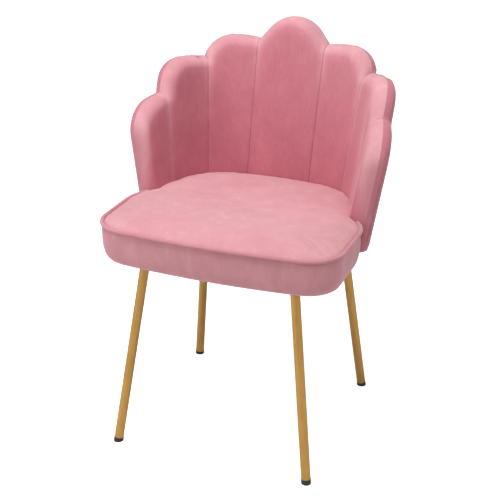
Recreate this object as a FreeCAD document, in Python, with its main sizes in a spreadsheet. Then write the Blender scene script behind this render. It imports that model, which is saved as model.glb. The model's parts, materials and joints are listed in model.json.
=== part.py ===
"""Scallop back chair: a fixed velvet armchair on four splayed brass coloured legs.

A bent plywood shell with seven padded channels wraps a T shaped seat. The shell's top edge
rises in seven lobes, one for each channel. All sizes are in millimetres. The origin lies on
the floor under the middle of the chair, +Z is up and the sitter faces -Y.
"""
import FreeCAD
import Part
import math
import os
from FreeCAD import Placement, Rotation, Vector

os.makedirs("parts", exist_ok=True)
doc = FreeCAD.newDocument("scallop_back_chair")

# Sizes, each written once
sheet = doc.addObject("Spreadsheet::Sheet", "Sizes")
SIZES = {
    # Shell plan, along its inner face where that crosses the sitting level
    "back_line": 187.0,         # inner face at the middle, behind the middle of the feet
    "sitting_level": 495.0,
    "back_radius": 694.0,
    "back_arc_half": 95.0,      # from the middle to the start of the rounded corner
    "corner_radius": 124.0,
    "arm_toe": 19.5,            # each arm opens by this angle towards the front, degrees
    "arm_end": 331.5,           # front of the arm, measured along the inner face
    "arm_end_lean": 0.103,
    "back_lean": 6.3,           # the shell as a whole leans back, degrees
    "flare": 0.13,              # and all its walls lean outward by this, per unit of height
    "shell_depth": 48.0,        # front to back through the padding
    "shell_foot": 420.0,        # lower edge of the shell
    "nose_round": 23.4,         # radius of the arms' round fronts
    # Channels and lobes, places along the inner face and heights above the sitting level
    "seam_one": 72.0,
    "seam_two": 160.0,
    "seam_three": 256.0,
    "channel_puff": 5.0,        # each channel's fullness in front of its two seams
    "seam_sink": 2.5,           # the seams' depth behind the plain inner face
    "lobe_mid_place": 0.0,
    "lobe_mid_rise": 273.0,
    "lobe_mid_radius": 75.0,
    "lobe_side_place": 116.0,
    "lobe_side_rise": 233.0,
    "lobe_side_radius": 67.0,
    "lobe_corner_place": 197.0,
    "lobe_corner_rise": 184.5,
    "lobe_corner_radius": 67.0,
    "lobe_arm_place": 265.0,
    "lobe_arm_rise": 97.5,
    "lobe_arm_radius": 76.0,
    "valley_one": 293.0,
    "valley_two": 247.5,
    "valley_three": 176.5,
    "edge_roll": 14.0,          # fall of the padded edge from its middle to each face
    # Shell layers
    "stave_place": 25.0,        # staves' inner faces at the seams, behind the plain inner face
    "stave_thick": 10.0,
    "stave_inset": 16.0,        # edge of the staves inside the padded edge
    "stave_end": 24.0,          # from the arms' fronts to the last staves
    "layer_gap": 0.3,
    # Seat
    "piping_level": 490.0,
    "piping_thick": 8.0,
    "piping_sunk": 1.0,         # centre of the piping inside the seat's outline
    "seat_under": 412.0,
    "seat_half_width": 256.0,
    "seat_front": 222.0,
    "front_bow": 2000.0,
    "front_corner": 45.0,
    "ear_radius": 100.0,
    "ear_start": 50.0,          # where the side starts to turn in, before the middle of the feet
    "ear_turn": 50.0,           # degrees turned by each ear
    "crown": 16.0,              # rise of the seat's middle above the piping
    "crown_run": 38.0,
    "under_tuck": 16.0,         # how far the lower edge is drawn in
    "under_rise": 33.0,
    "seat_gap": 1.0,            # between the seat and the channels
    "seat_tuck": 14.0,          # seat's back edge behind the face of the channels, cut off there
    "seat_skin": 2.0,           # cover alone, above and below
    "wadding": 7.0,             # cover and wadding at the sides
    "seam_open": 0.4,
    # Seat base
    "base_thick": 15.0,
    "base_margin": 22.0,        # from the seat's outline to the board
    "base_off": 6.0,            # from the plain inner face of the shell to the board
    "cleat_thick": 24.0,
    "cleat_height": 34.0,
    "cleat_off": 30.0,          # from each stave to the cleat in front of it
    "rear_cleat_long": 150.0,
    "rear_bolt_place": 46.0,
    "side_cleat_long": 74.0,
    "side_cleat_place": 288.0,
    "dust_inset": 38.0,         # from the seat's outline to the edge of the dust cover
    "dust_thick": 1.2,
    # Fixings between the shell and the seat base
    "bolt_thick": 6.0,
    "bolt_rise": 15.0,          # above the board's top
    "bolt_head_wide": 12.0,
    "bolt_head_thick": 4.0,
    "hole_ease": 0.5,
    "nut_flange_wide": 17.0,
    "nut_flange_thick": 1.2,
    "nut_barrel_wide": 8.4,
    "nut_barrel_long": 8.0,
    # Legs
    "foot_front_wide": 213.0,   # middle of each front foot from the middle of the chair
    "foot_back_wide": 206.0,
    "foot_deep": 210.5,
    "lean_front_in": 0.128,     # inward lean of the legs per unit of height
    "lean_back_in": 0.114,
    "lean_deep": 0.133,
    "tube_thick": 19.6,
    "tube_wall": 1.6,
    "glide_wide": 20.6,
    "glide_tall": 9.0,
    "glide_plug": 16.0,         # plug with eight flats, up inside the tube
    "glide_ease": 0.2,
    "plate_thick": 3.0,
    "plate_wide": 46.0,
    "plate_long": 120.0,
    "plate_past": 16.0,         # plate beyond the leg, outward
    "plate_corner": 12.0,
    "screw_first": 54.0,        # pair of screws, from the leg's middle
    "screw_last": 86.0,
    "screw_aside": 14.0,
    "screw_thick": 4.6,
    "screw_ease": 0.3,
    "screw_long": 14.0,
    "screw_head_wide": 9.0,
    "screw_head_thick": 2.6,
    "gusset_thick": 3.5,
    "gusset_reach": 40.0,
    "gusset_tall": 13.0,
    # Origin
    "middle_shift": 44.2,       # middle of the whole chair, behind the middle of the feet
}
for row, (name, size) in enumerate(SIZES.items(), start=1):
    sheet.set("A%d" % row, name)
    sheet.set("B%d" % row, repr(size))
    sheet.setAlias("B%d" % row, name)
doc.recompute()


def size(name):
    return float(getattr(sheet, name))


pieces = []


def piece(obj, label):
    obj.Label = label
    pieces.append(obj)
    return obj


def shaped(shape, label, place=None):
    """A sub-part whose form is lofted, swept or cut by the functions below."""
    obj = doc.addObject("Part::Feature", label)
    obj.Shape = shape
    obj.Placement = place or Placement()
    return piece(obj, label)


def largest(shape):
    return max(shape.Solids, key=lambda solid: solid.Volume)


def arc(first, middle, last):
    return Part.Arc(first, middle, last).toShape()


def line(first, last):
    return Part.LineSegment(first, last).toShape()


# The shell's plan and lean. It is built upright, with its origin where the middle of the
# inner face crosses the sitting level, and then leaned back as a whole.
LEAN = Placement(Vector(0, size("back_line"), size("sitting_level")),
                 Rotation(Vector(1, 0, 0), -size("back_lean")))
BACK_TURN = size("back_arc_half") / size("back_radius")
ARM_TURN = math.radians(90.0 - size("arm_toe"))
CORNER_END = size("back_arc_half") + size("corner_radius") * (ARM_TURN - BACK_TURN)
TOP_RISE = size("lobe_mid_rise") + size("lobe_mid_radius")
FOOT_RISE = size("shell_foot") - size("sitting_level")
CORNER_X = (size("back_radius") - size("corner_radius")) * math.sin(BACK_TURN)
CORNER_Y = (size("back_radius") - size("corner_radius")) * math.cos(BACK_TURN) - size("back_radius")


def plan(along):
    """Point on the inner face and its outward direction, at a distance from the middle."""
    reach = abs(along)
    side = 1.0 if along >= 0 else -1.0
    if reach <= size("back_arc_half"):
        turn = reach / size("back_radius")
        x = size("back_radius") * math.sin(turn)
        y = size("back_radius") * (math.cos(turn) - 1.0)
    else:
        turn = BACK_TURN + (reach - size("back_arc_half")) / size("corner_radius")
        turn = min(turn, ARM_TURN)
        straight = max(reach - CORNER_END, 0.0)
        x = CORNER_X + size("corner_radius") * math.sin(turn) + straight * math.cos(turn)
        y = CORNER_Y + size("corner_radius") * math.cos(turn) - straight * math.sin(turn)
    return Vector(side * x, y, 0), Vector(side * math.sin(turn), math.cos(turn), 0)


def spot(along, rise, depth):
    """Point of the upright shell: along its plan, at a height and behind its inner face."""
    base, out = plan(along)
    return base + out * (rise * size("flare") + depth) + Vector(0, 0, rise)


def flattened(loft):
    """The same solid with every face between straight edges made a plane."""
    faces = []
    for face in loft.Faces:
        corners = [vertex.Point for vertex in face.OuterWire.OrderedVertexes]
        around = sum(a.distanceToPoint(b) for a, b in zip(corners, corners[1:] + corners[:1]))
        if abs(around - face.OuterWire.Length) < 1e-6:
            face = Part.Face(Part.makePolygon(corners + corners[:1]))
        faces.append(face)
    shell = Part.makeShell(faces)
    shell.sewShape()
    return Part.makeSolid(shell)


def shell_section(rise, near, far, end):
    """Closed outline of the plain shell at one height, between two depths."""
    edges = []
    corner = Vector(CORNER_X, CORNER_Y, rise)
    for depth in (near, far):
        grow = rise * size("flare") + depth
        across = []
        for side in (-1.0, 1.0):
            circle = Part.Circle(Vector(side * corner.x, corner.y, rise), Vector(0, 0, 1),
                                 size("corner_radius") + grow)
            turns = sorted([math.pi / 2 - side * BACK_TURN, math.pi / 2 - side * ARM_TURN])
            across.append(Part.ArcOfCircle(circle, *turns).toShape())
            across.append(line(spot(side * CORNER_END, rise, depth), spot(side * end, rise, depth)))
        circle = Part.Circle(Vector(0, -size("back_radius"), rise), Vector(0, 0, 1),
                             size("back_radius") + grow)
        across.append(Part.ArcOfCircle(circle, math.pi / 2 - BACK_TURN,
                                       math.pi / 2 + BACK_TURN).toShape())
        edges += across
    for side in (-end, end):
        edges.append(line(spot(side, rise, near), spot(side, rise, far)))
    return Part.Wire(Part.__sortEdges__(edges))


def shell_slab(near, far, inset=0.0, past=0.0):
    """The plain shell between two depths, upright, from under its foot to over its top."""
    wires = []
    for rise in (FOOT_RISE - 60.0, TOP_RISE + 40.0):
        end = size("arm_end") + rise * size("arm_end_lean") - inset + past
        wires.append(shell_section(rise, near, far, end))
    return flattened(Part.makeLoft(wires, True, True))


SEAMS = [size("seam_one"), size("seam_two"), size("seam_three")]
STOPS = [-size("arm_end")] + [-seam for seam in reversed(SEAMS)] + SEAMS + [size("arm_end")]


def wedge(low, high, shy=0.0):
    """Upright block between two seams, from well inside the shell to well outside."""
    corners = []
    for along, side in ((low, 1.0), (high, -1.0)):
        base, out = plan(along)
        aside = Vector(out.y, -out.x, 0) * (side * shy)
        corners.append((base - out * 70.0 + aside, base + out * 170.0 + aside))
    loop = [corners[0][0], corners[0][1], corners[1][1], corners[1][0], corners[0][0]]
    face = Part.Face(Part.makePolygon(loop))
    face.translate(Vector(0, 0, FOOT_RISE - 60.0))
    return face.extrude(Vector(0, 0, TOP_RISE - FOOT_RISE + 110.0))


def channel(low, high, inset):
    """One channel: the part of a tall cone between two seams, round towards the sitter."""
    sink = size("seam_sink")
    first, last = spot(low, 0.0, sink), spot(high, 0.0, sink)
    middle = (low + high) / 2.0
    out = plan(middle)[1]
    half = first.distanceToPoint(last) / 2.0
    puff = size("channel_puff")
    radius = (half * half + puff * puff) / (2.0 * puff)
    centre = (first + last) / 2.0 + out * (radius - puff)
    under, over = FOOT_RISE - 50.0, TOP_RISE + 30.0
    cone = Part.makeCone(radius - under * size("flare") - inset,
                         radius - over * size("flare") - inset, over - under,
                         centre + Vector(0, 0, under), Vector(0, 0, 1))
    reach_low = low if low > -size("arm_end") else low - 45.0
    reach_high = high if high < size("arm_end") else high + 45.0
    return cone.common(wedge(reach_low, reach_high))


def shell_block(inset):
    """The padded shell without its scalloped top: seven channels in front, plain behind."""
    front = channel(STOPS[0], STOPS[1], inset)
    blocks = [channel(low, high, inset) for low, high in zip(STOPS[1:], STOPS[2:])]
    front = front.multiFuse(blocks).removeSplitter()
    slab = shell_slab(-30.0, size("shell_depth") - inset, size("nose_round"))
    return largest(slab.common(front))


def nose(side, grow):
    """The round front of an arm: a rod along its leaning edge."""
    axis = []
    for rise in (FOOT_RISE - 50.0, TOP_RISE + 30.0):
        end = size("arm_end") + rise * size("arm_end_lean") - size("nose_round")
        axis.append(spot(side * end, rise, size("shell_depth") / 2.0))
    return Part.makeCylinder(size("nose_round") + grow, axis[0].distanceToPoint(axis[1]),
                             axis[0], axis[1] - axis[0])


def shell_envelope(grow):
    """The padded shell before its top is cut, with its front grown towards the sitter."""
    return shell_block(-grow).multiFuse([nose(-1.0, grow), nose(1.0, grow)])


def frame_on(origin, side, up):
    """Placement with X along a face, Y square to it and Z up it."""
    up = up.normalize()
    return Placement(origin, Rotation(side, up.cross(side), up, "ZXY"))


# The scalloped top: one tongue for each channel of the middle and left half of the shell
class Lobe:
    def __init__(self, name, low, high, valleys):
        self.name, self.low, self.high = name, low, high
        self.place, self.rise, self.radius = [size("lobe_%s_%s" % (name, part))
                                              for part in ("place", "rise", "radius")]
        self.valleys = valleys
        middle = size("shell_depth") / 2.0
        base, out = plan(self.place)
        ends = (spot(low, 0.0, middle) + spot(high, 0.0, middle)) / 2.0
        bow = (spot(self.place, 0.0, middle) - ends).dot(out)
        self.frame = frame_on(spot(self.place, 0.0, middle - bow / 2.0), Vector(out.y, -out.x, 0),
                              out * size("flare") + Vector(0, 0, 1))

    def tangent(self, side):
        """Bearing from the lobe's centre of the line that runs from the lobe to a valley."""
        rise, along = self.valleys[0 if side < 0 else 1]
        if rise is None:
            return 0.0
        point = self.frame.inverse().multVec(spot(along, rise, size("shell_depth") / 2.0))
        x, z = side * point.x, point.z - self.rise
        return math.atan2(z, x) + math.acos(min(self.radius / math.hypot(x, z), 1.0))

    def outline(self, inset, depth):
        """Closed wire of the tongue, inset from its edge, at a depth from its middle."""
        radius = self.radius - inset
        foot = FOOT_RISE - 60.0
        sides = []
        turns = [self.tangent(side) for side in (-1.0, 1.0)]
        top = (math.pi - turns[0] + turns[1]) / 2.0
        crest = Vector(radius * math.cos(top), depth, self.rise + radius * math.sin(top))
        for side, turn in zip((-1.0, 1.0), turns):
            normal = (side * math.cos(turn), math.sin(turn))
            away = (side * math.sin(turn), -math.cos(turn))
            touch = Vector(normal[0] * radius, depth, self.rise + normal[1] * radius)
            run = 90.0 if turn else 0.0
            end = touch + Vector(away[0] * run, 0, away[1] * run)
            outer = Vector(end.x + side * (0.0 if turn else 20.0), depth, foot)
            sides.append((touch, end, outer))
        (touch_a, end_a, foot_a), (touch_b, end_b, foot_b) = sides
        edges = [arc(touch_a, crest, touch_b)]
        if end_b.distanceToPoint(touch_b) > 1.0:
            edges.append(line(touch_b, end_b))
        edges += [line(end_b, foot_b), line(foot_b, foot_a), line(foot_a, end_a), line(end_a, touch_a)]
        return Part.Wire(edges)

    def tongue(self, inset, roll):
        """Block under the lobe's outline, which falls by a roll towards both faces."""
        reach = 46.0
        fall = roll * reach / (size("shell_depth") / 2.0)
        middle = self.outline(inset, 0.0)
        halves = []
        for depth in (-reach, reach):
            wires = [self.outline(inset + fall, depth), middle]
            halves.append(Part.makeLoft(wires, True, True))
        whole = halves[0].fuse(halves[1]).removeSplitter()
        whole.Placement = self.frame
        return largest(whole)

    def span(self, past=0.0, end=-45.0):
        """Upright block between the lobe's seams and past them, or to before the arm's front."""
        low = self.low - past
        if self.high >= size("arm_end"):
            return wedge(low, self.high - end)
        return wedge(low, self.high + past)

    def stave_frame(self):
        depth = size("stave_place")
        first, last = spot(self.low, 0.0, depth), spot(self.high, 0.0, depth)
        side = (last - first).normalize()
        lean = (plan(self.low)[1] + plan(self.high)[1]) * (size("flare") / 2.0)
        across = lean - side * lean.dot(side)
        return frame_on((first + last) / 2.0, side, across + Vector(0, 0, 1))

    def layer(self, near, far):
        """Block between two flat planes along the stave, measured from its inner face."""
        block = Part.makeBox(700, far - near, 700, Vector(-350, near, -250))
        block.Placement = self.stave_frame()
        return block


LOBES = [Lobe("mid", -size("seam_one"), size("seam_one"),
              [(size("valley_one"), -size("seam_one")), (size("valley_one"), size("seam_one"))]),
         Lobe("side", size("seam_one"), size("seam_two"),
              [(size("valley_one"), size("seam_one")), (size("valley_two"), size("seam_two"))]),
         Lobe("corner", size("seam_two"), size("seam_three"),
              [(size("valley_two"), size("seam_two")), (size("valley_three"), size("seam_three"))]),
         Lobe("arm", size("seam_three"), size("arm_end"),
              [(size("valley_three"), size("seam_three")), (None, None)])]


def mirrored(shape):
    return shape.mirror(Vector(0, 0, 0), Vector(1, 0, 0))


def both_halves(shapes):
    """A list that starts with the middle channel, with the other half added."""
    return shapes + [mirrored(shape) for shape in shapes[1:]]


def above_foot(block, lift):
    """The part of the upright shell above its level foot, which lies flat once it leans."""
    box = Part.makeBox(1200, 1200, 600, Vector(-600, -600, size("shell_foot") + lift))
    box.Placement = LEAN.inverse() * box.Placement
    return largest(block.common(box))


def leaned(shape):
    return shape.transformed(LEAN.toMatrix(), copy=True)


# Levels of the seat base
BASE_UNDER = size("seat_under") + size("seat_skin") + size("layer_gap")
BASE_TOP = BASE_UNDER + size("base_thick")


def raised(lobe, x, depth, level):
    """Placement on a leaned stave at a distance along it, a depth from it and a world level."""
    frame = LEAN * lobe.stave_frame()
    start = frame.multVec(Vector(x, depth, 0))
    slope = frame.Rotation.multVec(Vector(0, 0, 1)).z
    return frame * Placement(Vector(x, depth, (level - start.z) / slope), Rotation())


BOLT_LEVEL = BASE_TOP + size("bolt_rise")
SIDE_SHIFT = size("side_cleat_place") - (size("seam_three") + size("arm_end")) / 2.0
HEAD_DEPTH = -size("cleat_off") - size("cleat_thick")
STAVE_BACK = size("stave_thick")


def prism(sides, wide, long, place=Placement()):
    """Upright bar with flats, as wide as given from corner to corner."""
    turns = [2.0 * math.pi * step / sides for step in range(sides)]
    ring = [Vector(math.cos(turn), math.sin(turn), 0) * (wide / 2.0) for turn in turns]
    solid = Part.Face(Part.makePolygon(ring + ring[:1])).extrude(Vector(0, 0, long))
    solid.Placement = place
    return solid


def bar(lobe, x, sides, wide, start, stop):
    """A bar square to a stave where a bolt goes, between two depths from its inner face."""
    turned = Placement(Vector(0, start - HEAD_DEPTH, 0), Rotation(Vector(1, 0, 0), -90))
    return prism(sides, wide, stop - start, raised(lobe, x, HEAD_DEPTH, BOLT_LEVEL) * turned)


def bars(lobe, sides, wide, start, stop):
    """The bars of a lobe's bolts: two at the middle, one at the arm."""
    places = {"mid": (-size("rear_bolt_place"), size("rear_bolt_place")), "arm": (SIDE_SHIFT,)}
    return [bar(lobe, x, sides, wide, start, stop) for x in places.get(lobe.name, ())]


def drilled(shape, lobe, wide, start, stop):
    for tool in bars(lobe, 8, wide, start, stop):
        shape = shape.cut(tool)
    return largest(shape)


def both_sides(shape, lobe, label):
    """One sub-part at the middle, or one on each side."""
    if lobe.name == "mid":
        shaped(shape, label + "_middle")
    else:
        shaped(shape, "%s_%s_left" % (label, lobe.name))
        shaped(mirrored(shape), "%s_%s_right" % (label, lobe.name))


# Shell: seven channel pads, seven staves and the outer pad
ease = size("layer_gap")
BOLT_HOLE = size("bolt_thick") + 2.0 * size("hole_ease")
BARREL_HOLE = size("nut_barrel_wide") + 2.0 * size("hole_ease")
FLANGE_HOLE = size("nut_flange_wide") + 2.0 * size("hole_ease")
tops = both_halves([lobe.tongue(0.0, size("edge_roll")).common(lobe.span(16.0)) for lobe in LOBES])
crown = tops[0].multiFuse(tops[1:])
body = above_foot(shell_envelope(0.0).common(crown), 0.0)
fronts = []
rooms = []
for lobe in LOBES:
    front = lobe.layer(-200.0, -ease).common(lobe.span())
    pad = leaned(largest(body.common(front)))
    both_sides(drilled(pad, lobe, BOLT_HOLE, -60.0, 5.0), lobe, "channel_pad")

    stave = lobe.layer(0.0, STAVE_BACK).common(lobe.span(end=size("stave_end")))
    stave = above_foot(stave.common(lobe.tongue(size("stave_inset"), 0.0)), ease)
    stave = drilled(leaned(stave), lobe, BARREL_HOLE, -2.0, STAVE_BACK + 2.0)
    both_sides(stave, lobe, "back_stave")

    fronts.append(lobe.layer(-200.0, 0.0).common(lobe.span()))
    room = lobe.layer(-1.0, STAVE_BACK + ease).common(lobe.span(end=size("stave_end") - ease))
    rooms.append(room.common(lobe.tongue(size("stave_inset") - ease, 0.0)))
cutters = both_halves(fronts) + both_halves(rooms)
outer = leaned(largest(body.cut(cutters)))
for lobe in LOBES:
    recesses = bars(lobe, 8, FLANGE_HOLE, STAVE_BACK - 1.0,
                    STAVE_BACK + size("nut_flange_thick") + ease)
    for recess in recesses:
        outer = outer.cut(recess)
        if lobe.name != "mid":
            outer = outer.cut(mirrored(recess))
shaped(largest(outer), "back_outer_pad")


# Seat: outline at each level, drawn in at the front and sides but not inside the shell
CORNER_AT = Vector(size("seat_half_width") - size("front_corner"), 0, 0)
BOW_AT = math.sqrt((size("front_bow") - size("front_corner")) ** 2 - CORNER_AT.x ** 2)
CORNER_AT.y = size("front_bow") - size("seat_front") - BOW_AT
EAR_AT = Vector(size("seat_half_width") - size("ear_radius"), -size("ear_start"), 0)
BOW_TURN = math.asin(CORNER_AT.x / (size("front_bow") - size("front_corner")))
EAR_TURN = math.radians(size("ear_turn"))


def round_the(centre, radius, first, last, level, mirror=False):
    """Arc about an upright axis between two bearings, or its mirror image."""
    if mirror:
        centre = Vector(-centre.x, centre.y, 0)
        first, last = math.pi - last, math.pi - first
    circle = Part.Circle(Vector(centre.x, centre.y, level), Vector(0, 0, 1), radius)
    return Part.ArcOfCircle(circle, first, last).toShape()


def visible_edges(level, inset):
    """Front, corners, sides and ears of the seat's outline, from ear to ear."""
    edges = []
    for mirror in (False, True):
        side = -1.0 if mirror else 1.0
        edges.append(round_the(EAR_AT, size("ear_radius") - inset, 0.0, EAR_TURN, level, mirror))
        wide = side * (size("seat_half_width") - inset)
        edges.append(line(Vector(wide, EAR_AT.y, level), Vector(wide, CORNER_AT.y, level)))
        edges.append(round_the(CORNER_AT, size("front_corner") - inset,
                               BOW_TURN - math.pi / 2, 0.0, level, mirror))
    centre = Vector(0, size("front_bow") - size("seat_front"), 0)
    edges.append(round_the(centre, size("front_bow") - inset, -math.pi / 2 - BOW_TURN,
                           -math.pi / 2 + BOW_TURN, level))
    return edges


def hidden_points(depth, rise=0.0):
    """Right half of a line inside the shell at a depth, from the arm to the middle of the back."""
    marks = (size("arm_end") - 40.0, CORNER_END, (CORNER_END + size("back_arc_half")) / 2.0,
             size("back_arc_half"), 0.0)
    return [LEAN.multVec(spot(mark, rise, depth)) for mark in marks]


def seat_outline(level, inset):
    reach = size("ear_radius") - inset
    points = hidden_points(size("seat_tuck"))
    loop = [Vector(EAR_AT.x + reach * math.cos(EAR_TURN), EAR_AT.y + reach * math.sin(EAR_TURN), 0)]
    loop += points + [Vector(-point.x, point.y, 0) for point in reversed(points[:-1])]
    loop.append(Vector(-loop[0].x, loop[0].y, 0))
    for point in loop:
        point.z = level
    edges = visible_edges(level, inset) + [line(a, b) for a, b in zip(loop, loop[1:])]
    return Part.Wire(Part.__sortEdges__(edges))


def stack(sections):
    """Solid through outlines at (level, inset) sections."""
    slices = []
    for low, high in zip(sections, sections[1:]):
        slices.append(Part.makeLoft([seat_outline(*low), seat_outline(*high)], True, True))
    return slices[0].multiFuse(slices[1:])


def seat_form():
    """The padded seat: tucked under below, crowned above the piping."""
    sections = []
    for turn in (90.0, 40.0):
        bend = math.radians(turn)
        fall = size("under_rise") * math.sin(bend)
        sections.append((size("seat_under") + size("under_rise") - fall,
                         size("under_tuck") * (1.0 - math.cos(bend))))
    sections.append((size("seat_under") + size("under_rise"), 0.0))
    sections.append((size("piping_level"), 0.0))
    for turn in (40.0, 90.0):
        bend = math.radians(turn)
        sections.append((size("piping_level") + size("crown") * math.sin(bend),
                         size("crown_run") * (1.0 - math.cos(bend))))
    return largest(stack(sections))


def foam_form(ease):
    """The cut foam inside the wadded covers, with sloping sides and a bevelled upper edge."""
    skin = size("seat_skin") + ease
    wad = size("wadding") + ease
    sections = [(size("seat_under") + skin, size("under_tuck") + skin),
                (size("piping_level") - size("wadding"), wad),
                (size("piping_level") + size("crown") - skin, size("crown_run") + skin)]
    return largest(stack(sections))


def block_between(low, high):
    return Part.makeBox(900, 900, high - low, Vector(-450, -450, low))


def piping(sides, radius):
    """Cord along the visible outline of the seat, from ear to ear, with flats all round."""
    spans = []
    for edge in visible_edges(size("piping_level"), size("piping_sunk")):
        start = edge.valueAt(edge.FirstParameter)
        along = edge.tangentAt(edge.FirstParameter)
        aside = along.cross(Vector(0, 0, 1)).normalize()
        turns = [2.0 * math.pi / sides * (step + 0.5) for step in range(sides)]
        ring = [start + aside * (radius * math.cos(turn)) + Vector(0, 0, radius * math.sin(turn))
                for turn in turns]
        ring = Part.Face(Part.makePolygon(ring + ring[:1]))
        if isinstance(edge.Curve, Part.Circle):
            turn = math.degrees(edge.LastParameter - edge.FirstParameter)
            spans.append(ring.revolve(edge.Curve.Center, edge.Curve.Axis, turn))
        else:
            spans.append(ring.extrude(edge.valueAt(edge.LastParameter) - start))
    return spans[0].multiFuse(spans[1:])


keep_clear = leaned(shell_envelope(size("seat_gap")))
groove = piping(4, (size("piping_thick") / 2.0 + size("layer_gap")) * math.sqrt(2.0))


def trimmed(shape):
    """A seat piece cut back in front of the channels and round the piping."""
    return largest(shape.cut(keep_clear).cut(groove))


skins = seat_form().cut(foam_form(0.0))
split = size("seam_open") / 2.0
shaped(trimmed(skins.common(block_between(size("piping_level") + split, 600.0))), "seat_top_cover")

# The lower skin is open in the middle, where the dust cover closes it
UNDER_TOP = size("seat_under") + size("seat_skin")
mouth = Part.Face(seat_outline(0.0, size("dust_inset"))).extrude(Vector(0, 0, UNDER_TOP + 0.1))
side_skin = skins.common(block_between(0.0, size("piping_level") - split)).cut(mouth)
shaped(trimmed(side_skin), "seat_side_cover")
shaped(largest(piping(6, size("piping_thick") / 2.0).cut(keep_clear)), "seat_piping")

# Cleats on the base, tipped to lie along the shell, with their lower edges cut level
MIDDLE, ARM = LOBES[0], LOBES[-1]
foam_rooms = []
for lobe, shift, long, label in ((MIDDLE, 0.0, "rear_cleat_long", "cleat_rear"),
                                 (ARM, SIDE_SHIFT, "side_cleat_long", "cleat_side")):
    blank = doc.addObject("Part::Box", "Blank_" + label)
    blank.setExpression("Length", "Sizes." + long)
    blank.setExpression("Width", "Sizes.cleat_thick")
    blank.setExpression("Height", "Sizes.cleat_height * 1.6")
    corner = Placement(Vector(-size(long) / 2.0, 0, -size("cleat_height") * 0.6), Rotation())
    blank.Placement = raised(lobe, shift, HEAD_DEPTH, BASE_TOP) * corner
    level = doc.addObject("Part::Box", "Level_" + label)
    level.Length, level.Width, level.Height = 900, 900, 200
    level.Placement = Placement(Vector(-450, -450, BASE_TOP), Rotation())
    cut = doc.addObject("Part::MultiCommon", "Cut_" + label)
    cut.Shapes = [blank, level]
    doc.recompute()
    cleat = drilled(cut.Shape.copy(), lobe, BOLT_HOLE, HEAD_DEPTH - 2.0, 2.0 - size("cleat_off"))
    room = Part.makeBox(size(long) + 2.0 * ease, size("cleat_thick") + size("bolt_head_thick") + 6.0,
                        size("cleat_height") * 1.6 + 40.0)
    shift_room = Vector(-ease, ease - size("bolt_head_thick") - 6.0, ease - 40.0)
    room.Placement = blank.Placement * Placement(shift_room, Rotation())
    foam_rooms.append(room)
    if lobe is MIDDLE:
        shaped(cleat, label)
    else:
        shaped(cleat, label + "_left")
        shaped(mirrored(cleat), label + "_right")

# Foam over the board and down round its edge
board_space = Part.Face(seat_outline(0.0, size("base_margin") - ease))
board_space = board_space.extrude(Vector(0, 0, BASE_TOP))
foam = foam_form(ease).cut(board_space).cut(keep_clear).cut(groove)
for room in both_halves(foam_rooms):
    foam = foam.cut(room)
shaped(largest(foam), "seat_foam")

dust = Part.Face(seat_outline(size("seat_under"), size("dust_inset") + size("seam_open")))
dust = dust.extrude(Vector(0, 0, size("dust_thick"))).cut(keep_clear)

# Bolts and tee nuts that hold the shell to the cleats
bolts = []
nuts = []
for lobe in (MIDDLE, ARM):
    heads = bars(lobe, 6, size("bolt_head_wide"), HEAD_DEPTH - size("bolt_head_thick"), HEAD_DEPTH)
    shanks = bars(lobe, 8, size("bolt_thick"), HEAD_DEPTH, STAVE_BACK)
    barrels = bars(lobe, 8, size("nut_barrel_wide"), STAVE_BACK - size("nut_barrel_long"), STAVE_BACK)
    flanges = bars(lobe, 8, size("nut_flange_wide"), STAVE_BACK,
                   STAVE_BACK + size("nut_flange_thick"))
    bores = bars(lobe, 8, size("bolt_thick") + size("hole_ease"), -5.0, STAVE_BACK + 5.0)
    for head, shank in zip(heads, shanks):
        bolts.append(head.fuse(shank))
    for barrel, flange, bore in zip(barrels, flanges, bores):
        nuts.append(barrel.fuse(flange).cut(bore))
bolts.append(mirrored(bolts[-1]))
nuts.append(mirrored(nuts[-1]))
shaped(Part.makeCompound(bolts), "shell_bolts")
shaped(Part.makeCompound(nuts), "shell_tee_nuts")


# Bodies drawn from sketches
def origin_plane(body, role):
    return [plane for plane in body.Origin.OriginFeatures if plane.Role == role][0]


def sketched(label, role):
    body = doc.addObject("PartDesign::Body", "Body_" + label)
    sketch = body.newObject("Sketcher::SketchObject", "Outline_" + label)
    sketch.AttachmentSupport = [(origin_plane(body, role), "")]
    sketch.MapMode = "FlatFace"
    return body, sketch


def padded(body, sketch, length, middle=False):
    pad = body.newObject("PartDesign::Pad", "Pad_" + body.Name)
    pad.Profile = sketch
    pad.setExpression("Length", "Sizes." + length)
    if middle:
        pad.SideType = "Symmetric"
    body.Tip = pad
    doc.recompute()
    return pad


def loop_of(sketch, points):
    for first, last in zip(points, points[1:] + points[:1]):
        sketch.addGeometry(Part.LineSegment(Vector(*first, 0), Vector(*last, 0)), False)


def octagon(x, y, radius):
    return [(x + radius * math.cos(math.pi / 4.0 * step), y + radius * math.sin(math.pi / 4.0 * step))
            for step in range(8)]


# Legs, one at each corner, each welded to a plate and a gusset
PLATE_UNDER = BASE_UNDER - size("plate_thick")
CLEARANCE = size("screw_thick") / 2.0 + size("screw_ease")
LEGS = []
for end, deep, wide, lean_in in (("front", -1.0, "foot_front_wide", "lean_front_in"),
                                 ("back", 1.0, "foot_back_wide", "lean_back_in")):
    for name, side in (("right", -1.0), ("left", 1.0)):
        foot = Vector(side * size(wide), deep * size("foot_deep"), 0)
        rise = Vector(-side * size(lean_in), -deep * size("lean_deep"), 1.0)
        LEGS.append((end + "_" + name, foot, rise))


def boxed(shape, label, foot, height):
    """A part's share between two levels, as a common with a wide box."""
    box = doc.addObject("Part::Box", "Levels_" + label)
    box.Length, box.Width, box.Height = 900, 900, height
    box.Placement = Placement(Vector(-450, -450, foot), Rotation())
    cut = doc.addObject("Part::MultiCommon", label)
    cut.Shapes = [shape, box]
    return cut


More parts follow.
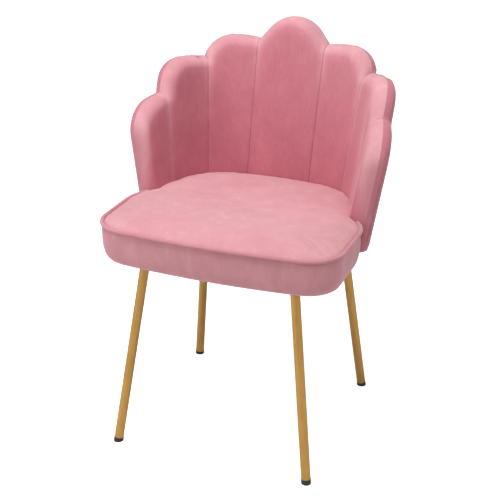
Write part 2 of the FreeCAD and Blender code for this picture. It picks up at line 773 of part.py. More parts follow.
screws = []
screw_places = []
glides = []
for name, foot, rise in LEGS:
    along = Placement(foot, Rotation(Vector(0, 0, 1), rise))
    tube = doc.addObject("Part::Cylinder", "Tube_" + name)
    tube.setExpression("Radius", "Sizes.tube_thick / 2")
    bore = doc.addObject("Part::Cylinder", "Bore_" + name)
    bore.setExpression("Radius", "Sizes.tube_thick / 2 - Sizes.tube_wall")
    for part in (tube, bore):
        part.setExpression("Height", "Sizes.seat_under * 1.1")
        part.Placement = along * Placement(Vector(0, 0, size("glide_tall")), Rotation())
    hollow = doc.addObject("Part::Cut", "Hollow_" + name)
    hollow.Base, hollow.Tool = tube, bore
    piece(boxed(hollow, "leg_" + name, 0.0, PLATE_UNDER), "leg_" + name)

    body, sketch = sketched("glide_" + name, "XZ_Plane")
    rim = size("glide_wide") / 2.0
    tall = size("glide_tall")
    loop_of(sketch, [(0, -rim / 2.0), (rim, -rim / 2.0), (rim, tall), (0, tall)])
    turned = body.newObject("PartDesign::Revolution", "Turned_" + name)
    turned.Profile = sketch
    turned.ReferenceAxis = (sketch, ["V_Axis"])
    turned.Angle = 360.0
    body.Tip = turned
    plug = body.newObject("Sketcher::SketchObject", "Plug_" + name)
    plug.AttachmentSupport = [(origin_plane(body, "XY_Plane"), "")]
    plug.MapMode = "FlatFace"
    loop_of(plug, octagon(0.0, 0.0, size("tube_thick") / 2.0 - size("tube_wall") - size("glide_ease")))
    padded(body, plug, "glide_tall + Sizes.glide_plug")
    body.Placement = along
    glides.append(boxed(body, "Glide_" + name, 0.0, 60.0))

    top = foot + rise * PLATE_UNDER
    inward = Vector(rise.x, rise.y, 0).normalize()
    at = Placement(top, Rotation(inward, Vector(0, 0, 1).cross(inward), Vector(0, 0, 1), "ZXY"))
    body, sketch = sketched("plate_" + name, "XY_Plane")
    near, half = -size("plate_past"), size("plate_wide") / 2.0
    far = near + size("plate_long")
    loop_of(sketch, [(near, -half), (far, -half), (far, half), (near, half)])
    holes = [(size("screw_first"), size("screw_aside")), (size("screw_first"), -size("screw_aside")),
             (size("screw_last"), 0.0)]
    for x, y in holes:
        loop_of(sketch, octagon(x, y, CLEARANCE))
    pad = padded(body, sketch, "plate_thick")
    corners = ["Edge%d" % (index + 1) for index, edge in enumerate(pad.Shape.Edges)
               if abs(edge.Vertexes[0].Z - edge.Vertexes[-1].Z) > 0.1
               and abs(edge.Vertexes[0].Y) > half - 0.1]
    trimmed_off = body.newObject("PartDesign::Chamfer", "Corners_" + name)
    trimmed_off.Base = (pad, corners)
    trimmed_off.setExpression("Size", "Sizes.plate_corner")
    body.Tip = trimmed_off
    body.Placement = at
    piece(body, "leg_plate_" + name)

    body, sketch = sketched("gusset_" + name, "XZ_Plane")
    tall, reach = size("gusset_tall"), size("gusset_reach")
    steep = math.hypot(rise.x, rise.y)
    foot_x = size("tube_thick") / 2.0 * math.hypot(1.0, steep) - 2.0 * tall * steep
    loop_of(sketch, [(0, 0), (0, -2.0 * tall), (foot_x + 1.0, -2.0 * tall),
                     (foot_x + 0.45 * tall, -1.35 * tall), (foot_x + 1.1 * tall, -tall),
                     (reach - 3.0, -tall * 0.8), (reach, 0)])
    padded(body, sketch, "gusset_thick", True)
    body.Placement = at
    rib = doc.addObject("Part::Cut", "gusset_" + name)
    outside = doc.addObject("Part::Cylinder", "Outside_" + name)
    outside.setExpression("Radius", "Sizes.tube_thick / 2")
    outside.setExpression("Height", "Sizes.seat_under * 1.1")
    outside.Placement = along
    rib.Base, rib.Tool = body, outside
    piece(rib, "leg_gusset_" + name)

    for x, y in holes:
        spot_at = at.multVec(Vector(x, y, 0))
        below_it = Placement(spot_at - Vector(0, 0, size("screw_head_thick")), Rotation())
        head = prism(6, size("screw_head_wide"), size("screw_head_thick"), below_it)
        shank = prism(6, size("screw_thick"), size("screw_long"), Placement(spot_at, Rotation()))
        screws.append(head.fuse(shank))
        screw_places.append(spot_at)
    hatch = Part.makeBox(size("plate_long") + 2.0 * ease, size("plate_wide") + 2.0 * ease, 20.0,
                         Vector(near - ease, -half - ease, -8.0))
    hatch.Placement = at
    dust = dust.cut(hatch)
shaped(Part.makeCompound(screws), "leg_screws")
group = doc.addObject("Part::Compound", "Glides")
group.Links = glides
piece(group, "leg_glides")
shaped(largest(dust), "dust_cover")

# Seat base board, drilled from below for the leg screws
body, sketch = sketched("seat_board", "XY_Plane")
margin = size("base_margin")
inner = hidden_points(-size("base_off"), BASE_UNDER - size("sitting_level"))
reach = size("ear_radius") - margin
loop = [Vector(EAR_AT.x + reach * math.cos(EAR_TURN), EAR_AT.y + reach * math.sin(EAR_TURN), 0)]
loop += inner + [Vector(-point.x, point.y, 0) for point in reversed(inner[:-1])]
loop.append(Vector(-loop[0].x, loop[0].y, 0))
for edge in visible_edges(0.0, margin):
    if isinstance(edge.Curve, Part.Circle):
        bend = Part.ArcOfCircle(edge.Curve, edge.FirstParameter, edge.LastParameter)
        sketch.addGeometry(bend, False)
    else:
        sketch.addGeometry(Part.LineSegment(*[vertex.Point for vertex in edge.Vertexes]), False)
for point in loop:
    point.z = 0.0
for first, last in zip(loop, loop[1:]):
    sketch.addGeometry(Part.LineSegment(first, last), False)
padded(body, sketch, "base_thick")
sketch = body.newObject("Sketcher::SketchObject", "Pilots")
sketch.AttachmentSupport = [(origin_plane(body, "XY_Plane"), "")]
sketch.MapMode = "FlatFace"
for at in screw_places:
    loop_of(sketch, octagon(at.x, at.y, size("screw_thick") / 2.0))
drill = body.newObject("PartDesign::Pocket", "Drilled")
drill.Profile = sketch
drill.Reversed = True
drill.setExpression("Length", "Sizes.screw_long - Sizes.plate_thick + 0.6")
body.Tip = drill
body.Placement = Placement(Vector(0, 0, BASE_UNDER), Rotation())
piece(body, "seat_board")

# Checks, then one file for each sub-part
for obj in pieces:
    obj.Placement = Placement(Vector(0, -size("middle_shift"), 0), Rotation()) * obj.Placement
doc.recompute()
for obj in doc.Objects:
    if "Invalid" in obj.State or "Error" in obj.State:
        raise RuntimeError("%s did not build" % obj.Label)
for obj in pieces:
    if obj.Shape.isNull() or not obj.Shape.isValid():
        raise RuntimeError("%s has no sound shape" % obj.Label)
    obj.Shape.exportStep("parts/%s.step" % obj.Label)
    print(obj.Label, len(obj.Shape.Solids), round(obj.Shape.Volume))
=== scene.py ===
"""Looks of the scallop back chair: velvet shell, piped seat, brass coloured legs.

Lengths are in metres. The origin lies on the floor under the middle of the chair, +Z is up and
the sitter faces -Y.
"""
import json
import math

import bpy
import numpy as np
from mathutils import Matrix, Vector


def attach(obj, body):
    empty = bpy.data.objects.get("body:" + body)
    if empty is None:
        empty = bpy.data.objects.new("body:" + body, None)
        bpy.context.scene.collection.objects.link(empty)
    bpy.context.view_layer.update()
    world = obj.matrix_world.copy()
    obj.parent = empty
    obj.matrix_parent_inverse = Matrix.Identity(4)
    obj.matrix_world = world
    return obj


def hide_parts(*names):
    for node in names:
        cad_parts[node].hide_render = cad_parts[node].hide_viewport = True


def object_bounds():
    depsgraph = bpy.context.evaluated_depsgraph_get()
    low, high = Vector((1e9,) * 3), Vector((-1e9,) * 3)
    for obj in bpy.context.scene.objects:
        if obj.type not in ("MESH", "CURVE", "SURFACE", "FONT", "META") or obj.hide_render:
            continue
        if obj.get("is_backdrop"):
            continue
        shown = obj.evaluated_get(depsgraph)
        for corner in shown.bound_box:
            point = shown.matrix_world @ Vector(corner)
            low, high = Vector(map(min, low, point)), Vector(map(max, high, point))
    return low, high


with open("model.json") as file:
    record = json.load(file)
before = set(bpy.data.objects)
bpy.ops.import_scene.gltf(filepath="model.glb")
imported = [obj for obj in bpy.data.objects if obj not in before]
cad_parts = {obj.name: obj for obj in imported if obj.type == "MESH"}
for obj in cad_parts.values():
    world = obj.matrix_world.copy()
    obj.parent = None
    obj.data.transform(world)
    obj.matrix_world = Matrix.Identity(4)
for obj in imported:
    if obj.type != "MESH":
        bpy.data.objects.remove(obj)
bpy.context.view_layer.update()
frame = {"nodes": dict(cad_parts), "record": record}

# The shell's plan is its inner face at LEVEL: a wide arc over ARC_HALF to each side of the middle,
# then an arc of the corner's radius, then the straight arm. Rises count from LEVEL, depths from the
# inner face outward, and places along the shell from the middle of the back.
SHIFT = -0.0442  # brings the middle of the chair's box to the origin
BACK_LINE = 0.187
LEVEL = 0.495
LEAN = math.radians(6.3)  # of the whole shell, backward
FLARE = 0.13  # of its walls, outward over rise
BACK_RADIUS, ARC_HALF, CORNER_RADIUS = 0.694, 0.095, 0.124
BACK_TURN = ARC_HALF / BACK_RADIUS
ARM_TURN = math.radians(90.0 - 19.5)
CORNER_END = ARC_HALF + CORNER_RADIUS * (ARM_TURN - BACK_TURN)
DEPTH = 0.048
FOOT_LEVEL = 0.420
ARM_END, ARM_LEAN = 0.3315, 0.103  # the arm's front, and how it leans forward over rise
SEAMS = (0.072, 0.160, 0.256)
# Place along the shell, rise of the centre and radius of each lobe; rises of the valleys between
LOBES = ((0.0, 0.273, 0.075), (0.116, 0.233, 0.067), (0.197, 0.1845, 0.067), (0.265, 0.0975, 0.076))
VALLEYS = (0.293, 0.2475, 0.1765)
STOPS = [-ARM_END] + [-seam for seam in reversed(SEAMS)] + list(SEAMS) + [ARM_END]
# The round edge: both sides curve from MEETING to their full depth over a distance of ROUND
MEETING = DEPTH / 2.0 + 0.002
ROUND = 0.0215
FOOT_ROUND = 0.012
# Columns of a channel, rows over the round edge and below it, and columns in the last part of
# the shell before an arm's front
CHANNEL_COLUMNS, ARM_COLUMNS = 30, 40
EDGE_STEPS, PLAIN_STEPS = 9, 34
FRONT_STEPS, FRONT_SHARE = 12, 0.07
# Places further along than this lie on an arm's channel
ON_ARM = SEAMS[2] + 0.01


def plan(along):
    """Points on the inner face and outward directions at distances from the middle."""
    along = np.asarray(along, float)
    reach = np.abs(along)
    side = np.where(along >= 0, 1.0, -1.0)
    bend = BACK_RADIUS - CORNER_RADIUS
    turn_a = reach / BACK_RADIUS
    turn_b = np.minimum(BACK_TURN + (reach - ARC_HALF) / CORNER_RADIUS, ARM_TURN)
    straight = np.maximum(reach - CORNER_END, 0.0)
    middle = reach <= ARC_HALF
    x_b = bend * math.sin(BACK_TURN) + CORNER_RADIUS * np.sin(turn_b) + straight * np.cos(turn_b)
    y_b = bend * math.cos(BACK_TURN) - BACK_RADIUS + CORNER_RADIUS * np.cos(turn_b)
    y_b = y_b - straight * np.sin(turn_b)
    x = np.where(middle, BACK_RADIUS * np.sin(turn_a), x_b)
    y = np.where(middle, BACK_RADIUS * (np.cos(turn_a) - 1.0), y_b)
    turn = np.where(middle, turn_a, turn_b)
    return side * x, y, side * np.sin(turn), np.cos(turn)


def spot(along, rise, depth):
    """Places on the leant shell, as rows of x, y and z."""
    x, y, out_x, out_y = plan(along)
    grow = rise * FLARE + depth
    x, y = x + out_x * grow, y + out_y * grow
    back = math.cos(LEAN) * y + math.sin(LEAN) * rise
    up = math.cos(LEAN) * rise - math.sin(LEAN) * y
    return np.stack([x, back + BACK_LINE + SHIFT, up + LEVEL], -1)


# The scalloped outline: each lobe is an arc in a plane that touches the shell there, with straight
# lines down to its valleys, carried over to places along the shell and rises
def upright(along, rise, depth):
    """Places on the shell before it leans."""
    x, y, out_x, out_y = plan(along)
    grow = rise * FLARE + depth
    return np.stack([x + out_x * grow, y + out_y * grow, rise + 0.0 * x], -1)


def outline():
    """Outline from the middle of the back to the front of the arm, then down its front."""
    middle = DEPTH / 2.0
    stops = (-SEAMS[0],) + SEAMS + (ARM_END,)
    points = []
    for index, (place, rise, radius) in enumerate(LOBES):
        out = np.array([float(v) for v in plan(place)[2:]] + [0.0])
        ends = (upright(stops[index], 0.0, middle) + upright(stops[index + 1], 0.0, middle)) / 2.0
        centre = upright(place, 0.0, middle)
        centre = centre - out * ((centre - ends) @ out) / 2.0
        side_way = np.array([out[1], -out[0], 0.0])
        up_way = out * FLARE + np.array([0.0, 0.0, 1.0])
        up_way /= np.linalg.norm(up_way)

        def local(along, height):
            """Coordinates in the lobe's plane."""
            gap = upright(along, height, middle) - centre
            return np.stack([gap @ side_way, gap @ up_way], -1)

        def bearing(side, along, height):
            """Where the line from a valley touches the lobe's circle."""
            x, z = local(along, height)
            x, z = side * x, z - rise
            return math.atan2(z, x) + math.acos(min(radius / math.hypot(x, z), 1.0))

        start, end = math.pi / 2, math.atan(-ARM_LEAN)
        if index > 0:
            start = math.pi - bearing(-1.0, SEAMS[index - 1], VALLEYS[index - 1])
            points.append([(SEAMS[index - 1], VALLEYS[index - 1])])
        if index < 3:
            end = bearing(1.0, SEAMS[index], VALLEYS[index])
        turns = np.linspace(start, end, 41)
        wanted = np.stack([radius * np.cos(turns), rise + radius * np.sin(turns)], -1)
        along, height = place + 0.7 * wanted[:, 0], wanted[:, 1].copy()
        for _ in range(14):
            here = local(along, height)
            by_along = (local(along + 1e-5, height) - here) / 1e-5
            by_rise = (local(along, height + 1e-5) - here) / 1e-5
            off = wanted - here
            scale = by_along[:, 0] * by_rise[:, 1] - by_along[:, 1] * by_rise[:, 0]
            along = along + (off[:, 0] * by_rise[:, 1] - off[:, 1] * by_rise[:, 0]) / scale
            height = height + (by_along[:, 0] * off[:, 1] - by_along[:, 1] * off[:, 0]) / scale
        points.append(np.stack([along, height], -1))
    points = np.concatenate([np.asarray(part, float) for part in points])
    limit = ARM_END + points[:, 1] * ARM_LEAN
    points[:, 0] = np.minimum(points[:, 0], limit)
    return np.concatenate([points, [[ARM_END + LINE_END * ARM_LEAN, LINE_END]]])


# Rise at which the arm's front line ends, below the foot
LINE_END = -0.13
EDGE = outline()


def edge_distance(along, rise):
    """Least distance to the outline over the shell, for arrays of places."""
    line = spot(EDGE_WHOLE[:, 0], EDGE_WHOLE[:, 1], DEPTH / 2.0)
    fine = []
    for a, b in zip(line[:-1], line[1:]):
        count = max(1, int(np.linalg.norm(b - a) / 0.01))
        fine += [a + (b - a) * step / count for step in range(count)]
    line = np.array(fine + [line[-1]])
    here = spot(along, rise, DEPTH / 2.0)
    a, run = line[:-1], np.diff(line, axis=0)
    square = np.maximum((run ** 2).sum(1), 1e-14)
    best = np.full(here.shape[:-1], 9.0)
    for start, way, size in zip(a, run, square):
        share = np.clip(((here - start) @ way) / size, 0.0, 1.0)
        gap = np.linalg.norm(here - start - share[..., None] * way, axis=-1)
        best = np.minimum(best, gap)
    return best


def top_rise(along):
    """Height of the outline over a place, from its upper part."""
    reach = abs(along)
    last = int(np.argmax(EDGE[:, 0]))
    return float(np.interp(reach, EDGE[:last + 1, 0], EDGE[:last + 1, 1]))


def column_along(share, rise):
    """Place along the shell of a column; the outer columns fan out with the arm's front."""
    reach = np.abs(share) * ARM_END
    beyond = np.clip((reach - SEAMS[2]) / (ARM_END - SEAMS[2]), 0.0, 1.0)
    return np.sign(share) * (reach + beyond * rise * ARM_LEAN)


def foot_rise(along, depth):
    """Rise at which the leant shell meets the level of its foot."""
    y = plan(along)[1] + depth
    return (FOOT_LEVEL - LEVEL + math.sin(LEAN) * y) / math.cos(LEAN)


def column_top(share):
    """Rise where a column meets the outline."""
    high = 0.36
    rises = np.linspace(0.0, high, 721)
    places = np.abs(column_along(share, rises))
    tops = np.array([top_rise(place) for place in places])
    above = np.nonzero(rises >= tops)[0]
    return float(rises[above[0]]) if len(above) else high


def foot_of(share):
    """Rise of a column's foot, which is rounded off at the front of an arm."""
    foot = float(foot_rise(np.array(share * ARM_END), DEPTH / 2.0))
    past = max(abs(share) * ARM_END - (ARM_END - FOOT_ROUND), 0.0)
    return foot + FOOT_ROUND - math.sqrt(max(FOOT_ROUND ** 2 - past ** 2, 0.0))


def foot_corner():
    """The round lower corner at the front of an arm, as (along, rise)."""
    places = []
    for turn in np.linspace(0.0, math.pi / 2, 7):
        share = (ARM_END - FOOT_ROUND + FOOT_ROUND * math.cos(turn)) / ARM_END
        rise = foot_of(share)
        places.append([float(column_along(share, rise)), rise])
    return np.array(places)


CORNER_LINE = foot_corner()
BORDER = np.concatenate([EDGE[EDGE[:, 1] > CORNER_LINE[0, 1] + 0.001], CORNER_LINE])
EDGE_WHOLE = np.concatenate([BORDER[::-1] * [-1.0, 1.0], BORDER[1:]])


# The padding swells between its seams, most near the top, and a seam draws it in; the second
# value of each pair is added near the top
SWELL = (0.0017, 0.0040)
PINCH, PINCH_REACH = (0.0010, 0.0016), (0.0020, 0.011)
PUFF_POWER = 2.4
UPPER_START, UPPER_REACH = 0.02, 0.055


def at_arm_front(low, high):
    """Whether one of two places is the front of an arm."""
    return high >= ARM_END or low <= -ARM_END


def shares_of(low, high, count):
    """Shares of the shell's half length, a little closer together at both ends."""
    turn = np.linspace(0.0, math.pi, count)
    ease = 0.35 * (1.0 - np.cos(turn)) / 2.0 + 0.65 * np.linspace(0.0, 1.0, count)
    return low + (high - low) * ease


def grid_of(low, high):
    """Columns between two places, from the edge down; each row is (along, rise)."""
    if at_arm_front(low, high):
        turns = np.linspace(0.0, math.pi / 2, FRONT_STEPS)
        near = 1.0 - (1.0 - np.cos(turns)) * FRONT_SHARE
        side = 1.0 if high >= ARM_END else -1.0
        seam = (low if side > 0 else high) / ARM_END * side
        plain = np.linspace(seam, near[-1], ARM_COLUMNS - FRONT_STEPS + 1)[:-1]
        shares = np.sort(np.concatenate([plain, near[::-1]]) * side)
    else:
        shares = shares_of(low / ARM_END, high / ARM_END, CHANNEL_COLUMNS)
    turns = np.linspace(0.0, math.pi / 2, EDGE_STEPS)
    down = np.linspace(1.0, 0.0, PLAIN_STEPS)[1:] ** 1.5
    columns = []
    for share in shares:
        top = column_top(share)
        foot = foot_of(share)
        fine = top - np.linspace(0.0, 1.0, 260) ** 2 * (top - foot)
        along = column_along(share, fine)
        gap = np.maximum.accumulate(edge_distance(along, fine))
        if gap[-1] > ROUND:
            reached = np.interp(ROUND * (1.0 - np.cos(turns)) * 0.999, gap, fine)
        else:
            reached = top - (top - foot) * 0.25 * (1.0 - np.cos(turns))
        reached[0] = top
        rises = np.concatenate([reached, foot + (reached[-1] - foot) * down])
        columns.append(np.stack([column_along(share, rises), rises], -1))
    return np.array(columns)


def roundness(places):
    """Distance from the outline, and the share of the full thickness reached there."""
    gap = edge_distance(places[..., 0], places[..., 1])
    gap[:, 0] = 0.0
    for column in (0, -1):
        if abs(places[column, -1, 0]) > ON_ARM:
            gap[column] = 0.0
    return gap, np.sqrt(np.clip(1.0 - (1.0 - np.clip(gap / ROUND, 0, 1)) ** 2, 0, 1))


def inner_depth(places, low, high):
    """Depth of the sitter's side of a channel: puffed, and drawn in along its seams."""
    along, rise = places[..., 0], places[..., 1]
    gap, round_edge = roundness(places)
    across = (along - (low + high) / 2) / ((high - low) / 2)
    across = np.clip(across, -1.0, 1.0)
    puff = 1.0 - np.abs(across) ** PUFF_POWER
    seam_low, seam_high = np.abs(along - low), np.abs(high - along)
    if low <= -ARM_END:
        seam_low = np.full_like(seam_low, 1.0)
        puff = 1.0 - np.clip((across + 0.2) / 1.2, 0.0, 1.0) ** PUFF_POWER
    if high >= ARM_END:
        seam_high = np.full_like(seam_high, 1.0)
        puff = 1.0 - np.clip((0.2 - across) / 1.2, 0.0, 1.0) ** PUFF_POWER
    seam = np.minimum(seam_low, seam_high)
    upper = np.exp(-(np.clip(gap - UPPER_START, 0.0, 1.0) / UPPER_REACH) ** 2)
    pinch = np.exp(-(seam / PINCH_REACH[0]) ** 2) * PINCH[0]
    pinch = pinch + np.exp(-(seam / PINCH_REACH[1]) ** 2) * PINCH[1] * upper
    swell = puff * (SWELL[0] + SWELL[1] * upper)
    depth = 0.0005 - swell + pinch
    return MEETING - (MEETING - depth) * round_edge


def outer_depth(places):
    """Depth of the outer side."""
    return MEETING + (DEPTH - MEETING) * roundness(places)[1]


def mesh_object(name, points, faces):
    """A smooth shaded object, linked to the scene."""
    mesh = bpy.data.meshes.new(name)
    mesh.from_pydata([tuple(point) for point in points], [], faces)
    mesh.validate()
    mesh.update()
    obj = bpy.data.objects.new(name, mesh)
    bpy.context.scene.collection.objects.link(obj)
    mesh.polygons.foreach_set("use_smooth", [True] * len(mesh.polygons))
    return obj


def grid_faces(columns, rows, flip=False):
    """Faces over points stored column by column."""
    faces = []
    for i in range(columns - 1):
        for j in range(rows - 1):
            a = i * rows + j
            face = (a, a + rows, a + rows + 1, a + 1)
            faces.append(face[::-1] if flip else face)
    return faces


def channel_piece(name, low, high):
    """One padded channel with its round edge, and its painted light and shade at each point."""
    places = grid_of(low, high)
    front = inner_depth(places, low, high)
    surface = spot(places[..., 0], places[..., 1], front)
    columns, rows = places.shape[:2]
    points = list(surface.reshape(-1, 3))
    faces = grid_faces(columns, rows)
    gap = edge_distance(places[..., 0], places[..., 1])
    seam = np.minimum(np.abs(places[..., 0] - low), np.abs(high - places[..., 0]))
    upper = np.exp(-(gap / 0.075) ** 2)
    height = np.clip((places[..., 1] + 0.02) / 0.30, 0.0, 1.0)
    facing_up = np.clip((places[..., 1] - 0.02) / 0.12, 0.0, 1.0)
    # Painted light and shade: paler upward, over the round edge where it faces up, beside the seams
    # near the top, and on the left side
    painted_light = 0.03 + 0.22 * height + 0.60 * np.exp(-(gap / 0.017) ** 2) * facing_up
    painted_light += 0.45 * upper * np.exp(-(seam / 0.008) ** 2)
    painted_light += 0.30 * np.clip(places[..., 0] / 0.3, 0.0, 1.0) * height
    # Turned under at the foot, and in along the two seams
    hem = spot(places[:, -1:, 0], places[:, -1:, 1], np.full((columns, 1), 0.02)).reshape(-1, 3)
    start = len(points)
    points += list(hem)
    for i in range(columns - 1):
        a, b = i * rows + rows - 1, (i + 1) * rows + rows - 1
        faces.append((a, b, start + i + 1, start + i))
    for column in (0, columns - 1):
        if abs(places[column, -1, 0]) > ON_ARM:
            continue
        deep = spot(places[column, :, 0], places[column, :, 1],
                    np.maximum(front[column] + 0.004, 0.004))
        start_in = len(points)
        points += list(deep)
        for j in range(rows - 1):
            a = column * rows + j
            face = (a, a + 1, start_in + j + 1, start_in + j)
            faces.append(face if column == 0 else face[::-1])
    # The turned under foot and turned in seam strips get the darkest painted shade
    painted_light = np.concatenate([painted_light.ravel(), np.zeros(len(points) - painted_light.size)])
    return mesh_object(name, points, faces), painted_light


def outer_piece(name):
    """The outer panel: from the rounded edge down to the foot, and turned under."""
    blocks = []
    for low, high in zip(STOPS, STOPS[1:]):
        block = grid_of(low, high)
        blocks.append(block if not blocks else block[1:])
    places = np.concatenate(blocks)
    surface = spot(places[..., 0], places[..., 1], outer_depth(places))
    columns, rows = places.shape[:2]
    points = list(surface.reshape(-1, 3))
    faces = grid_faces(columns, rows, flip=True)
    rounded = roundness(places)[1][:, -1]
    above = [i * rows + rows - 1 for i in range(columns)]
    for depth in (DEPTH - 0.004, 0.014):
        under = spot(places[:, -1, 0], places[:, -1, 1], MEETING + (depth - MEETING) * rounded)
        start = len(points)
        points += list(under)
        for i in range(columns - 1):
            faces.append((start + i, start + i + 1, above[i + 1], above[i]))
        above = list(range(start, start + columns))
    return mesh_object(name, points, faces)


channel_names = ["arm_right", "corner_right", "side_right", "middle", "side_left", "corner_left",
                 "arm_left"]
channels = []
for name, low, high in zip(channel_names, STOPS, STOPS[1:]):
    channels.append(channel_piece("velvet_channel_" + name, low, high))
outer = outer_piece("velvet_outer_panel")


# Seat: outline from ear to ear round the front, then back along the channels
def arc_points(centre, radius, first, last, count):
    """Points on an arc between two bearings."""
    turns = np.linspace(first, last, count)
    return np.stack([centre[0] + radius * np.cos(turns), centre[1] + radius * np.sin(turns)], -1)


SEAT_HALF, SEAT_FRONT, FRONT_BOW, CORNER, EAR = 0.2555, 0.222, 2.0, 0.070, 0.100
CORNER_X = SEAT_HALF - CORNER
CORNER_Y = FRONT_BOW - SEAT_FRONT - math.sqrt((FRONT_BOW - CORNER) ** 2 - CORNER_X ** 2)
BOW_TURN = math.asin(CORNER_X / (FRONT_BOW - CORNER))
EAR_Y, EAR_TURN = -0.05, math.radians(50.0)
WELT_LEVEL, CROWN = 0.490, 0.0160


def seat_side():
    """Left half of the visible outline, from the middle of the front to the ear's end."""
    front, turned = -math.pi / 2, BOW_TURN - math.pi / 2
    bow = arc_points((0, FRONT_BOW - SEAT_FRONT), FRONT_BOW, front, turned, 30)
    corner = arc_points((CORNER_X, CORNER_Y), CORNER, turned, 0.0, 14)
    ear = arc_points((SEAT_HALF - EAR, EAR_Y), EAR, 0.0, EAR_TURN, 16)
    return np.concatenate([bow, corner[1:], ear])


def evenly(points, count):
    """The same line with its points at even steps."""
    steps = np.linalg.norm(np.diff(points, axis=0), axis=1)
    run = np.concatenate([[0.0], np.cumsum(steps)])
    wanted = np.linspace(0.0, run[-1], count)
    return np.stack([np.interp(wanted, run, column) for column in points.T], -1)


half = seat_side()
visible = np.concatenate([half[::-1] * [-1, 1], half[1:]])
visible[:, 1] += SHIFT
BEHIND_END, BEHIND_RISE, BEHIND_DEPTH = 0.298, 0.006, 0.0012
behind_places = np.linspace(BEHIND_END, -BEHIND_END, 90)
behind = spot(behind_places, np.full(90, BEHIND_RISE), np.full(90, BEHIND_DEPTH))[:, :2]
VISIBLE_COUNT, BEHIND_COUNT = 170, 110
visible = evenly(visible, VISIBLE_COUNT)
behind = evenly(behind, BEHIND_COUNT)
LOOP = np.concatenate([visible, behind])
ahead = np.roll(LOOP, -2, axis=0) - np.roll(LOOP, 2, axis=0)
ahead /= np.linalg.norm(ahead, axis=1)[:, None]
INWARD = np.stack([-ahead[:, 1], ahead[:, 0]], -1)
# 1 on the outline that is seen, 0 behind the channels, blended between the two
SHOWN = np.zeros(len(LOOP))
SHOWN[:VISIBLE_COUNT] = 1.0
for _ in range(6):
    SHOWN = (np.roll(SHOWN, 1) + SHOWN + np.roll(SHOWN, -1)) / 3.0
CENTRE = np.array([0.0, -0.06])
# Level and inset of the side and under cover's rings, from the piping to the under side
SIDE_PROFILE = ((0.4872, 0.0046), (0.4842, 0.0016), (0.4795, 0.0002), (0.468, -0.0006),
                (0.457, -0.0008), (0.446, -0.0004), (0.4365, 0.0008), (0.428, 0.0030),
                (0.4205, 0.0066), (0.4155, 0.0110), (0.4130, 0.0155), (0.412, 0.023),
                (0.4118, 0.034), (0.4122, 0.041))


def seat_ring(level, inset, hidden_inset):
    """The outline moved inward, by one inset where it is seen and another where it isn't."""
    shift = SHOWN * inset + (1.0 - SHOWN) * hidden_inset
    flat = LOOP + INWARD * shift[:, None]
    return np.concatenate([flat, np.full((len(LOOP), 1), level)], 1)


def top_rings():
    """Rings of the top cover, from the piping over the round edge to near the middle."""
    rings = []
    for turn in (0.0, 12.0, 25.0, 38.0, 52.0, 66.0, 80.0, 90.0):
        bend = math.radians(turn)
        rise = math.sin(bend) ** 0.92
        rings.append(seat_ring(WELT_LEVEL - 0.001 + (CROWN - 0.002) * rise,
                               0.0046 + 0.040 * (1.0 - math.cos(bend)),
                               0.010 * (1.0 - math.cos(bend))))
        rings[-1][:, 2] += (1.0 - SHOWN) * ((1.0 - rise) * 0.006 - 0.0035)
    last = rings[-1]
    for share in (0.93, 0.84, 0.73, 0.61, 0.48, 0.35, 0.22, 0.1):
        ring = last.copy()
        ring[:, :2] = CENTRE + (last[:, :2] - CENTRE) * share
        ring[:, 2] += 0.0022 * (1.0 - share ** 2)
        rings.append(ring)
    return rings


def side_rings():
    """Rings of the side and under cover, left open where the dust cover is."""
    return [seat_ring(level, inset, min(inset, 0.002) + max(inset - 0.02, 0.0))
            for level, inset in SIDE_PROFILE]


def rings_mesh(name, rings, flip, closed):
    """Skin over rings, with a fan of faces over the last one where it is closed."""
    count = len(rings[0])
    points = np.concatenate(rings)
    faces = []
    for k in range(len(rings) - 1):
        for i in range(count):
            j = (i + 1) % count
            face = (k * count + i, k * count + j, (k + 1) * count + j, (k + 1) * count + i)
            faces.append(face[::-1] if flip else face)
    if closed:
        last, centre = (len(rings) - 1) * count, len(points)
        points = np.concatenate([points, rings[-1].mean(0)[None]])
        for i in range(count):
            face = (last + i, last + (i + 1) % count, centre)
            faces.append(face[::-1] if flip else face)
    return mesh_object(name, points, faces)


def coordinates(mesh):
    """A mesh's points as rows."""
    flat = np.zeros(len(mesh.vertices) * 3, np.float32)
    mesh.vertices.foreach_get("co", flat)
    return flat.reshape(-1, 3).astype(float)


def inflate(obj, pinned, pressure, cap):
    """Swells a piece as stuffed cloth held along its sewn edges, with a cap on its movement."""
    rest = coordinates(obj.data)
    group = obj.vertex_groups.new(name="sewn")
    group.add([int(i) for i in pinned], 1.0, "REPLACE")
    cloth = obj.modifiers.new("Cloth", "CLOTH")
    settings = cloth.settings
    settings.quality = 6
    settings.mass = 0.25
    settings.tension_stiffness = settings.compression_stiffness = 12.0
    settings.shear_stiffness = 5.0
    settings.bending_stiffness = 0.6
    settings.use_pressure = True
    settings.uniform_pressure_force = pressure
    settings.vertex_group_mass = "sewn"
    settings.effector_weights.gravity = 0.0
    cloth.point_cache.frame_start, cloth.point_cache.frame_end = 1, CLOTH_STEPS
    scene = bpy.context.scene
    for step in range(1, CLOTH_STEPS + 1):
        scene.frame_set(step)
    shape = obj.evaluated_get(bpy.context.evaluated_depsgraph_get()).to_mesh()
    moved = coordinates(shape) - rest
    obj.modifiers.remove(cloth)
    obj.vertex_groups.clear()
    scene.frame_set(1)
    far = np.linalg.norm(moved, axis=1)
    share = np.where(far > 1e-9, cap * np.tanh(far / cap) / np.maximum(far, 1e-9), 0.0)
    places = rest + moved * share[:, None]
    obj.data.vertices.foreach_set("co", places.astype(np.float32).ravel())
    obj.data.update()


CLOTH_STEPS = 20
top_cover = rings_mesh("velvet_seat_top", top_rings(), False, True)
side_cover = rings_mesh("velvet_seat_side", side_rings(), True, False)
